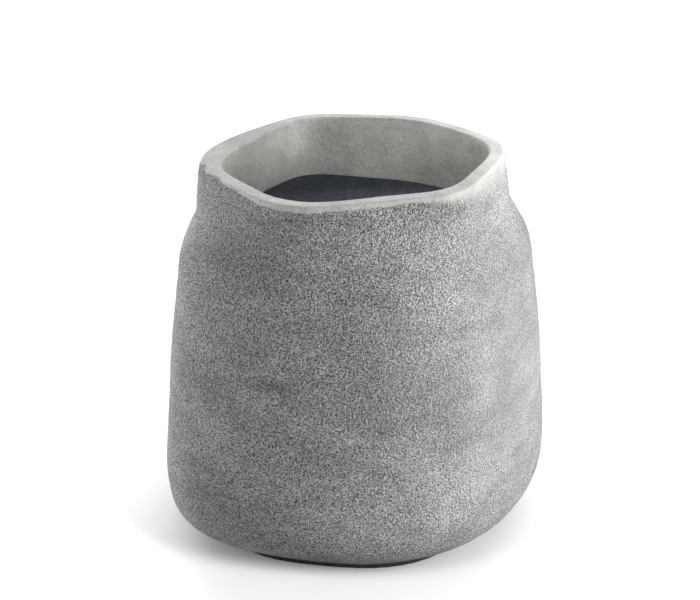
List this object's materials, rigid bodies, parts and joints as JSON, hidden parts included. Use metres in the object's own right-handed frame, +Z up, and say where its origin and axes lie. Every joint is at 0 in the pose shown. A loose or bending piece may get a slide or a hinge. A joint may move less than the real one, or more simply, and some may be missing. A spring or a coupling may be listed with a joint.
{
  "type": "planter",
  "caption": "Free-standing round-bodied planter with a straight neck, a soft-cornered open mouth, a lift-out raised floor under a felt, a base drain and rubber feet.",
  "frame": {"origin": "on the ground, under the middle of the body's outline", "axes": "+Z up; the view of the picture looks along +Y and down, with +X to its right"},
  "size_m": [0.7798, 0.7658, 0.775],
  "materials": {
    "concrete": "coarse granular outside, smooth lip and inner wall",
    "felt": "needle-punched, matte",
    "floor_plastic": "matte recycled plastic",
    "drain_plastic": "smooth pipe plastic",
    "galvanised_steel": "hot-dip galvanised, dull",
    "stainless_steel": "bright turned",
    "foot_rubber": "matte"
  },
  "bodies": {
    "planter": {"concrete_shell": "concrete", "lifting_socket_1": "stainless_steel", "lifting_socket_2": "stainless_steel", "lifting_socket_3": "stainless_steel", "lifting_socket_4": "stainless_steel", "support_bracket_1": "galvanised_steel", "support_bracket_2": "galvanised_steel", "support_bracket_3": "galvanised_steel", "support_bracket_4": "galvanised_steel", "bracket_washer_1": "stainless_steel", "bracket_washer_2": "stainless_steel", "bracket_washer_3": "stainless_steel", "bracket_washer_4": "stainless_steel", "bracket_bolt_1": "stainless_steel", "bracket_bolt_2": "stainless_steel", "bracket_bolt_3": "stainless_steel", "bracket_bolt_4": "stainless_steel", "drain_sleeve": "drain_plastic", "drain_strainer": "drain_plastic", "foot_pad_1": "foot_rubber", "foot_pad_2": "foot_rubber", "foot_pad_3": "foot_rubber", "foot_pad_4": "foot_rubber"},
    "lift_out_floor": {"raised_floor": "floor_plastic"},
    "felt": {"filter_felt": "felt"}
  },
  "joints": [
    {"name": "floor_lift", "type": "slide", "parent": "planter", "child": "lift_out_floor", "axis": [0, 0, 1], "range_m": [0, 0.2]},
    {"name": "felt_lift", "type": "slide", "parent": "lift_out_floor", "child": "felt", "axis": [0, 0, 1], "range_m": [0, 0.2]}
  ]
}
